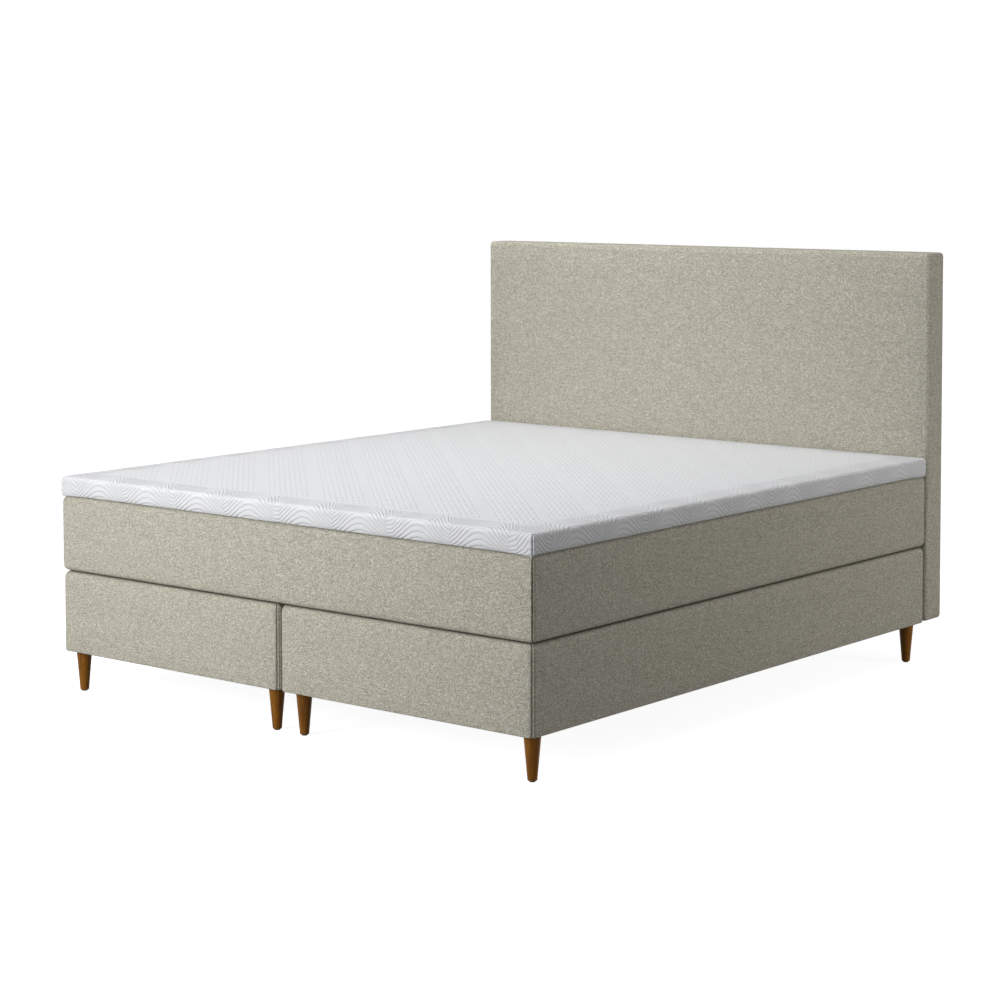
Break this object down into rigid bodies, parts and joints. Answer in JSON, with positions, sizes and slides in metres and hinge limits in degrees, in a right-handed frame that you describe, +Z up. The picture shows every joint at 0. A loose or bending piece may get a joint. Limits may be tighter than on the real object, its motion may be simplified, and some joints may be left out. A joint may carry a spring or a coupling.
{
  "type": "box spring bed",
  "caption": "Upholstered box spring bed with split sprung base on turned wood legs, one-piece mattress, quilted topper and plain padded headboard.",
  "frame": {"origin": "on the floor, under the middle of the whole bed", "axes": "+X across the bed to the right when seen from the foot, +Y from the foot to the headboard, +Z up"},
  "size_m": [1.812, 2.104, 1.2979],
  "materials": {
    "base_fabric": "melange flat weave, matt",
    "mattress_fabric": "melange flat weave, matt",
    "headboard_fabric": "melange flat weave, matt",
    "lining_cloth": "spun lining, matt",
    "platform_fabric": "plain weave, matt",
    "quilt_fabric": "knitted quilting, matt",
    "pocket_fabric": "spun pocket cloth, matt",
    "felt": "needled felt, matt",
    "foam": "open cell foam, matt",
    "softwood": "sawn, matt",
    "board": "board, matt",
    "oak": "stained and oiled, satin",
    "zinc_steel": "zinc plated, satin",
    "glide_plastic": "moulded, matt"
  },
  "bodies": {
    "bed_base": {"left_base_cover": "base_fabric", "left_base_dust_cover": "lining_cloth", "left_base_long_rails": "softwood", "left_base_end_rails": "softwood", "left_base_corner_blocks": "softwood", "left_base_slats": "softwood", "left_base_felts": "felt", "left_base_edge_foam": "foam", "left_base_spring_core": "pocket_fabric", "left_base_foam_pad": "foam", "left_base_platform_cloth": "platform_fabric", "right_base_cover": "base_fabric", "right_base_dust_cover": "lining_cloth", "right_base_long_rails": "softwood", "right_base_end_rails": "softwood", "right_base_corner_blocks": "softwood", "right_base_slats": "softwood", "right_base_felts": "felt", "right_base_edge_foam": "foam", "right_base_spring_core": "pocket_fabric", "right_base_foam_pad": "foam", "right_base_platform_cloth": "platform_fabric", "left_base_legs": "oak", "right_base_legs": "oak", "leg_bolts": "zinc_steel", "leg_insert_nuts": "zinc_steel", "leg_glides": "glide_plastic", "joining_plates": "zinc_steel", "headboard_cover": "headboard_fabric", "headboard_back_cloth": "lining_cloth", "headboard_back_board": "board", "headboard_posts": "softwood", "headboard_rails": "softwood", "headboard_front_board": "board", "headboard_foam": "foam", "headboard_bolts": "zinc_steel", "headboard_spacers": "glide_plastic", "headboard_insert_nuts": "zinc_steel"},
    "mattress": {"mattress_border": "mattress_fabric", "mattress_top_panel": "mattress_fabric", "mattress_bottom_panel": "lining_cloth", "mattress_base_foam": "foam", "mattress_comfort_foam": "foam", "mattress_felts": "felt", "mattress_edge_foam": "foam", "mattress_spring_core": "pocket_fabric"},
    "topper": {"topper_cover": "quilt_fabric", "topper_underside": "quilt_fabric", "topper_foam_core": "foam"}
  },
  "joints": [
    {"name": "mattress_lift", "type": "slide", "parent": "bed_base", "child": "mattress", "axis": [0, 0, 1], "range_m": [0, 0.3]},
    {"name": "topper_lift", "type": "slide", "parent": "mattress", "child": "topper", "axis": [0, 0, 1], "range_m": [0, 0.3]}
  ]
}
